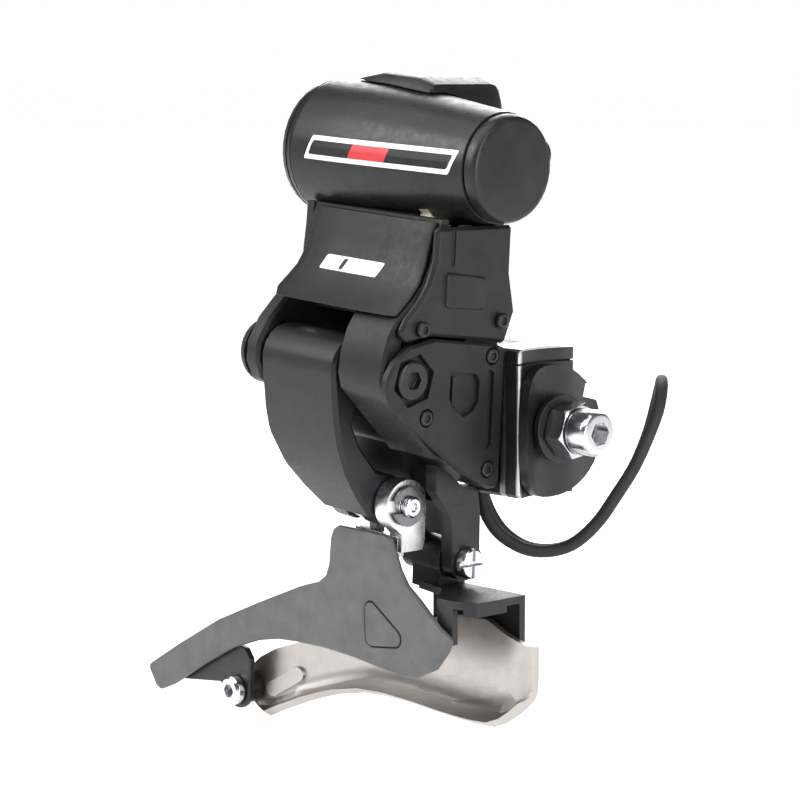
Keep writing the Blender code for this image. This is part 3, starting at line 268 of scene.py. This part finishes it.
class Shader:
    """A Principled material with short calls for the nodes that feed it."""

    def __init__(self, name, colour, rough, metal=0.0):
        self.mat = bpy.data.materials.new(name)
        self.mat.use_nodes = True
        self.tree = self.mat.node_tree
        self.bsdf = self.tree.nodes["Principled BSDF"]
        self.bsdf.inputs["Base Color"].default_value = (*colour, 1.0)
        self.bsdf.inputs["Roughness"].default_value = rough
        self.bsdf.inputs["Metallic"].default_value = metal
        self.coords = self.node("ShaderNodeTexCoord").outputs["Object"]

    def node(self, kind, **values):
        made = self.tree.nodes.new(kind)
        for key, value in values.items():
            setattr(made, key, value)
        return made

    def link(self, source, target):
        self.tree.links.new(source, target)

    def noise(self, size_mm, detail=2.0, stretch=(1, 1, 1)):
        """Noise with features of about that size, drawn out along the axes of stretch."""
        place = self.node("ShaderNodeMapping")
        place.inputs["Scale"].default_value = [1.0 / s for s in stretch]
        self.link(self.coords, place.inputs["Vector"])
        texture = self.node("ShaderNodeTexNoise")
        texture.inputs["Scale"].default_value = 1.0 / (size_mm * MM)
        texture.inputs["Detail"].default_value = detail
        self.link(place.outputs["Vector"], texture.inputs["Vector"])
        return texture.outputs["Fac"]

    def span(self, source, low, high, from_low=0.3, from_high=0.7):
        remap = self.node("ShaderNodeMapRange")
        remap.inputs["From Min"].default_value = from_low
        remap.inputs["From Max"].default_value = from_high
        remap.inputs["To Min"].default_value = low
        remap.inputs["To Max"].default_value = high
        self.link(source, remap.inputs["Value"])
        return remap.outputs["Result"]

    def mixed(self, factor, colour_a, colour_b):
        mix = self.node("ShaderNodeMix", data_type="RGBA")
        self.link(factor, mix.inputs["Factor"])
        for socket, colour in zip((mix.inputs[6], mix.inputs[7]), (colour_a, colour_b)):
            if isinstance(colour, tuple):
                socket.default_value = (*colour, 1.0)
            else:
                self.link(colour, socket)
        return mix.outputs[2]

    def edges(self, radius_mm, low, high):
        """1 near sharp edges and 0 on open faces."""
        bevel = self.node("ShaderNodeBevel", samples=4)
        bevel.inputs["Radius"].default_value = radius_mm * MM
        geometry = self.node("ShaderNodeNewGeometry")
        dot = self.node("ShaderNodeVectorMath", operation="DOT_PRODUCT")
        self.link(bevel.outputs["Normal"], dot.inputs[0])
        self.link(geometry.outputs["Normal"], dot.inputs[1])
        return self.span(dot.outputs["Value"], 1.0, 0.0, low, high)

    def bump(self, height, depth_mm):
        made = self.node("ShaderNodeBump")
        made.inputs["Strength"].default_value = 1.0
        made.inputs["Distance"].default_value = depth_mm * MM
        self.link(height, made.inputs["Height"])
        return made.outputs["Normal"]

    def set(self, socket, source):
        self.link(source, self.bsdf.inputs[socket])


def moulded(name, colour, rough, grain_mm=0.22, depth_mm=0.012, painted_edge_highlight=True):
    """Injection-moulded plastic: fine grain, faint cloudiness, and a highlight painted lighter
    along its edges.
    """
    s = Shader(name, colour, rough)
    cloud = s.noise(6.0, 3.0)
    pale = tuple(c * 1.55 + 0.002 for c in colour)
    base = s.mixed(s.span(cloud, 0.0, 1.0), colour, pale)
    if painted_edge_highlight:
        # painted highlight: near sharp edges the colour is mixed up to halfway towards a 2.6 times
        # lighter tint
        rim = s.edges(0.3, 0.9, 0.995)
        base = s.mixed(s.span(rim, 0.0, 0.5, 0.0, 1.0), base, tuple(c * 2.6 for c in colour))
    s.set("Base Color", base)
    s.set("Roughness", s.span(s.noise(1.4, 4.0), rough - 0.06, rough + 0.08))
    s.set("Normal", s.bump(s.noise(grain_mm, 2.0), depth_mm))
    s.bsdf.inputs["Specular IOR Level"].default_value = 0.27
    return s.mat


def anodised(name, colour, rough, metal=0.55, edge=0.35):
    """Bead-blasted, dyed aluminium with a highlight painted lighter along its edges."""
    s = Shader(name, colour, rough, metal)
    pale = tuple(c * 1.35 for c in colour)
    base = s.mixed(s.span(s.noise(3.5, 4.0), 0.0, 1.0), colour, pale)
    # painted highlight: near sharp edges the colour is mixed towards a paler, noise-mottled tint,
    # as far as edge sets
    rim = s.edges(0.25, 0.88, 0.995)
    edge_highlight_colour = s.mixed(s.span(s.noise(0.9, 3.0), 0.0, 1.0, 0.45, 0.65), base,
                   tuple(min(c * 2.0 + edge * 0.2, 1.0) for c in colour))
    s.set("Base Color", s.mixed(s.span(rim, 0.0, edge, 0.0, 1.0), base, edge_highlight_colour))
    s.set("Roughness", s.span(s.noise(0.7, 4.0), rough - 0.05, rough + 0.07))
    s.set("Normal", s.bump(s.noise(0.14, 2.0), 0.007))
    return s.mat


def bare_metal(name, colour, rough, stretch=(1, 1, 1), line_mm=0.12, depth_mm=0.004, tarnish=0.8):
    """Polished, turned or brushed metal with fine lines along the long axis of stretch."""
    s = Shader(name, colour, rough, 1.0)
    dull = tuple(c * tarnish for c in colour)
    s.set("Base Color", s.mixed(s.span(s.noise(2.2, 5.0), 0.0, 1.0), colour, dull))
    lines = s.noise(line_mm, 3.0, stretch)
    s.set("Roughness", s.span(lines, rough * 0.75, rough * 1.35))
    s.set("Normal", s.bump(lines, depth_mm))
    return s.mat


def circuit(name):
    """Green board with paler traces."""
    s = Shader(name, BOARD_GREEN, 0.35)
    traces = s.node("ShaderNodeTexVoronoi", distance="MANHATTAN", feature="F1")
    traces.inputs["Scale"].default_value = 700.0
    s.link(s.coords, traces.inputs["Vector"])
    s.set("Base Color", s.mixed(s.span(traces.outputs["Distance"], 0.0, 1.0, 0.28, 0.34),
                                BOARD_GREEN, (0.03, 0.2, 0.08)))
    s.set("Roughness", s.span(s.noise(0.5), 0.25, 0.5))
    s.set("Normal", s.bump(traces.outputs["Distance"], 0.02))
    return s.mat


def printed(name, colour):
    """Label ink under a thin clear film."""
    s = Shader(name, colour, 0.35)
    s.bsdf.inputs["Coat Weight"].default_value = 0.4
    s.bsdf.inputs["Coat Roughness"].default_value = 0.15
    s.set("Base Color", s.mixed(s.span(s.noise(0.6, 4.0), 0.0, 1.0), colour,
                                tuple(c * 0.86 for c in colour)))
    s.set("Roughness", s.span(s.noise(1.5, 3.0), 0.28, 0.42))
    s.set("Normal", s.bump(s.noise(0.3, 2.0), 0.003))
    return s.mat


def seat_painted_highlights(name):
    """Black anodised aluminium with highlight bands painted bright and metallic down its flanks
    and on its top.
    """
    s = Shader(name, ANODISED_BLACK, 0.38, 0.3)
    axes = s.node("ShaderNodeSeparateXYZ")
    s.link(s.coords, axes.inputs["Vector"])

    def test(operation, source, *values):
        made = s.node("ShaderNodeMath", operation=operation)
        s.link(source, made.inputs[0])
        for socket, value in zip(made.inputs[1:], values):
            if isinstance(value, float):
                socket.default_value = value
            else:
                s.link(value, socket)
        return made.outputs[0]

    narrow = test("COMPARE", axes.outputs["X"], *(v * MM for v in NARROW_BAND))
    front = test("COMPARE", axes.outputs["X"], *(v * MM for v in FRONT_BAND))
    side = test("GREATER_THAN", test("ABSOLUTE", axes.outputs["Y"]), FLANK_Y * MM)
    flank = test("MULTIPLY", test("MAXIMUM", narrow, front), side)
    # painted highlight: the flank bands and the top are coloured bright grey and made metallic
    highlight_bands = test("MAXIMUM", flank, test("GREATER_THAN", axes.outputs["Z"], SEAT_TOP_Z * MM))
    lines = s.noise(0.12, 3.0, (1, 1, 6))
    dyed = s.mixed(s.span(s.noise(3.5, 4.0), 0.0, 1.0), ANODISED_BLACK, (0.018, 0.018, 0.019))
    s.set("Base Color", s.mixed(highlight_bands, dyed, PAINTED_HIGHLIGHT_GREY))
    s.set("Metallic", s.span(highlight_bands, 0.3, 1.0, 0.0, 1.0))
    s.set("Roughness", s.span(lines, 0.28, 0.42))
    s.set("Normal", s.bump(lines, 0.004))
    return s.mat


def make_looks():
    """Every look by name; a node's look is named after its material slot or in NODE_LOOKS."""
    return {
        "black_plastic": moulded("moulded_black", MOULDED_BLACK, 0.42),
        "barrel_black": moulded("barrel_black", MOULDED_BLACK, 0.33, 0.35, 0.006, False),
        "black_alloy": anodised("anodised_black", ANODISED_BLACK, 0.38, 0.3),
        "arm_alloy": anodised("anodised_gunmetal", (0.013, 0.013, 0.0145), 0.36, 0.45),
        "plate_grey": anodised("matt_grey_plate", (0.078, 0.078, 0.079), 0.55, 0.15, 0.15),
        "satin_nickel": bare_metal("satin_nickel", (0.48, 0.448, 0.424), 0.38, (14, 1, 1),
                                   0.16, 0.003, 0.93),
        "bright_alloy": bare_metal("bright_aluminium", (0.7, 0.7, 0.71), 0.3, (1, 1, 5),
                                   0.3, 0.0015, 0.93),
        "steel": bare_metal("polished_steel", (0.62, 0.62, 0.64), 0.19, (1, 3, 3),
                            0.15, 0.0015, 0.9),
        "brass": bare_metal("machined_brass", (0.6, 0.43, 0.17), 0.3, (1, 4, 4), 0.12),
        "rubber": moulded("soft_rubber", (0.014, 0.014, 0.015), 0.6, 0.18, 0.01),
        "gear_nylon": moulded("natural_nylon", (0.62, 0.58, 0.49), 0.45, 0.4, 0.008),
        "seat_painted_highlights": seat_painted_highlights("seat_painted_highlights"),
        "dark_steel": bare_metal("dark_steel", (0.2, 0.2, 0.205), 0.32, (1, 3, 3), 0.1),
        "board_green": circuit("circuit_board"),
        "label_white": printed("label_white", (0.8, 0.8, 0.79)),
        "label_red": printed("label_red", (0.55, 0.012, 0.02)),
    }


# ------------------------------------------------------------------- labels

def stripe_points(u, v, length, height, shear):
    """A point of a slanted stripe with rounded ends; u and v run from -1 to 1."""
    end = min(1.0, LABEL_END / length)
    over = min(1.0, max(0.0, (abs(u) - (1.0 - end)) / end))
    half = 0.5 * height - LABEL_ROUND * (1.0 - math.sqrt(1.0 - over * over))
    return 0.5 * length * u + shear * half * v, half * v


def label_layer(mesh, tree, centre, size, height):
    """A grid of vertices laid over the surface, the given height in front of it."""
    columns, rows = LABEL_GRID
    towards = Vector((0, 1, 0))
    grid = []
    for i in range(columns + 1):
        line = []
        for j in range(rows + 1):
            u = math.sin(math.pi * (i / columns - 0.5))
            dx, dz = stripe_points(u, 2 * j / rows - 1, *size, LABEL_SHEAR)
            start = TILT @ Vector((centre[0] + dx, RAY_START_Y, centre[1] + dz)) * MM
            spot = tree.ray_cast(start, towards)[0]
            line.append(mesh.verts.new(spot - towards * height * MM))
        grid.append(line)
    return grid


def label_faces(mesh, top, low):
    """The front, back and rim between the two layers of a label."""
    columns, rows = LABEL_GRID
    for i in range(columns):
        for j in range(rows):
            mesh.faces.new((top[i][j], top[i + 1][j], top[i + 1][j + 1], top[i][j + 1]))
            mesh.faces.new((low[i][j + 1], low[i + 1][j + 1], low[i + 1][j], low[i][j]))
    rim = [(i, 0) for i in range(columns)] + [(columns, j) for j in range(rows)]
    rim += [(i, rows) for i in range(columns, 0, -1)] + [(0, j) for j in range(rows, 0, -1)]
    for (a, b), (c, d) in zip(rim, rim[1:] + rim[:1]):
        mesh.faces.new((top[c][d], top[a][b], low[a][b], low[c][d]))


def build_label(name, node, centre, size, lift, look):
    """A thin printed stripe that follows the outer side of a node."""
    surface = frame["nodes"][node].data
    tree = BVHTree.FromPolygons([v.co for v in surface.vertices],
                                [tuple(p.vertices) for p in surface.polygons])
    mesh = bmesh.new()
    top, low = (label_layer(mesh, tree, centre, size, height) for height in (lift, LABEL_FOOT))
    label_faces(mesh, top, low)
    bmesh.ops.recalc_face_normals(mesh, faces=mesh.faces)
    data = bpy.data.meshes.new(name)
    mesh.to_mesh(data)
    mesh.free()
    data.materials.append(look)
    label = new_object(name, data, "case")


def build_labels(looks):
    white, red = looks["label_white"], looks["label_red"]
    first, second, third = LABEL_LIFTS
    x, z = BARREL_LABEL
    build_label("barrel_stripe", "motor_housing", (x, z), BARREL_BORDER_SIZE, first, white)
    build_label("barrel_stripe_core", "motor_housing", (x, z), BARREL_CORE_SIZE, second,
                looks["barrel_black"])
    build_label("barrel_stripe_middle", "motor_housing", (x + BARREL_MIDDLE_SHIFT, z),
                BARREL_MIDDLE_SIZE, third, red)
    x, z = NECK_LABEL
    build_label("neck_bar", "neck_cover", (x, z), NECK_BAR_SIZE, first, white)
    build_label("neck_bar_gap", "neck_cover", (x + NECK_GAP_SHIFT, z), NECK_GAP_SIZE, second,
                looks["black_plastic"])


# ---------------------------------------------------------------- CAD nodes

def dress(obj, look):
    """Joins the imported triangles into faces, rounds the edges a little and adds the material."""
    mesh = obj.data
    for name in ("custom_normal", "sharp_edge", "sharp_face"):
        if name in mesh.attributes:
            mesh.attributes.remove(mesh.attributes[name])
    mesh.shade_smooth()
    weld = obj.modifiers.new("weld", "WELD")
    weld.merge_threshold = WELD_DISTANCE
    flat = obj.modifiers.new("flat_faces", "DECIMATE")
    flat.decimate_type = "DISSOLVE"
    flat.angle_limit = FLAT_ANGLE
    edge = obj.modifiers.new("edges", "BEVEL")
    edge.width = EDGE_WIDTHS.get(obj.name, EDGE_WIDTH) * MM
    edge.segments = 2
    edge.limit_method = "ANGLE"
    edge.angle_limit = SMALLEST_ANGLE
    edge.use_clamp_overlap = True
    normals = obj.modifiers.new("normals", "WEIGHTED_NORMAL")
    normals.keep_sharp = False
    mesh.materials.clear()
    mesh.materials.append(look)


def dress_cad(looks):
    slots = {s["node"]: s["material_slot"] for s in frame["record"]["subparts"]}
    for name, obj in sorted(frame["nodes"].items()):
        dress(obj, looks[NODE_LOOKS.get(name, slots[name])])


# -------------------------------------------------------- floor and lights

def build_floor():
    mesh = bmesh.new()
    bmesh.ops.create_circle(mesh, cap_ends=True, radius=FLOOR_RADIUS, segments=96)
    data = bpy.data.meshes.new("floor")
    mesh.to_mesh(data)
    mesh.free()
    floor = bpy.data.objects.new("floor", data)
    bpy.context.scene.collection.objects.link(floor)
    floor.location.z = cad_low.z - FLOOR_GAP * MM
    s = Shader("pale_floor", FLOOR_WHITE, 0.8)
    s.set("Base Color", s.mixed(s.span(s.noise(60.0, 3.0), 0.0, 1.0), FLOOR_WHITE,
                                (0.88, 0.88, 0.88)))
    s.bsdf.inputs["Specular IOR Level"].default_value = 0.1
    s.bsdf.inputs["Emission Color"].default_value = (1.0, 1.0, 1.0, 1.0)
    s.bsdf.inputs["Emission Strength"].default_value = FLOOR_GLOW
    floor.data.materials.append(s.mat)


def add_light(name, place, size, power):
    """A rectangular light that points at the part."""
    data = bpy.data.lights.new(name, "AREA")
    data.shape = "RECTANGLE"
    data.size, data.size_y = size
    data.energy = power
    light = bpy.data.objects.new(name, data)
    bpy.context.scene.collection.objects.link(light)
    light.location = Vector(place) * MM
    light.rotation_mode = "QUATERNION"
    light.rotation_quaternion = (Vector(LIGHT_AIM) - Vector(place)).to_track_quat("-Z", "Y")


def add_sun(name, towards, strength, angle):
    data = bpy.data.lights.new(name, "SUN")
    data.energy = strength
    data.angle = math.radians(angle)
    light = bpy.data.objects.new(name, data)
    bpy.context.scene.collection.objects.link(light)
    light.rotation_mode = "QUATERNION"
    light.rotation_quaternion = Vector(towards).to_track_quat("-Z", "Y")


def studio_world():
    """A studio that is white near the horizon and darker overhead."""
    world = bpy.data.worlds.new("studio")
    bpy.context.scene.world = world
    world.use_nodes = True
    tree = world.node_tree
    coords = tree.nodes.new("ShaderNodeTexCoord")
    split = tree.nodes.new("ShaderNodeSeparateXYZ")
    remap = tree.nodes.new("ShaderNodeMapRange")
    remap.interpolation_type = "SMOOTHSTEP"
    remap.inputs["From Min"].default_value = WORLD_FADE[0]
    remap.inputs["From Max"].default_value = WORLD_FADE[1]
    remap.inputs["To Min"].default_value = WORLD_LOW
    remap.inputs["To Max"].default_value = WORLD_HIGH
    tree.nodes["Background"].inputs["Color"].default_value = (1.0, 1.0, 1.0, 1.0)
    tree.links.new(coords.outputs["Generated"], split.inputs["Vector"])
    tree.links.new(split.outputs["Z"], remap.inputs["Value"])
    tree.links.new(remap.outputs["Result"], tree.nodes["Background"].inputs["Strength"])


def light_scene():
    bpy.context.scene.view_settings.view_transform = "Standard"
    studio_world()
    add_sun("sky", SKY_TOWARDS, SKY_STRENGTH, SKY_ANGLE)
    for light in LIGHTS:
        add_light(*light)


make_camera()
cable = build_cable()
looks = make_looks()
cable.data.materials.append(looks["rubber"])
dress_cad(looks)
build_labels(looks)
build_floor()
light_scene()
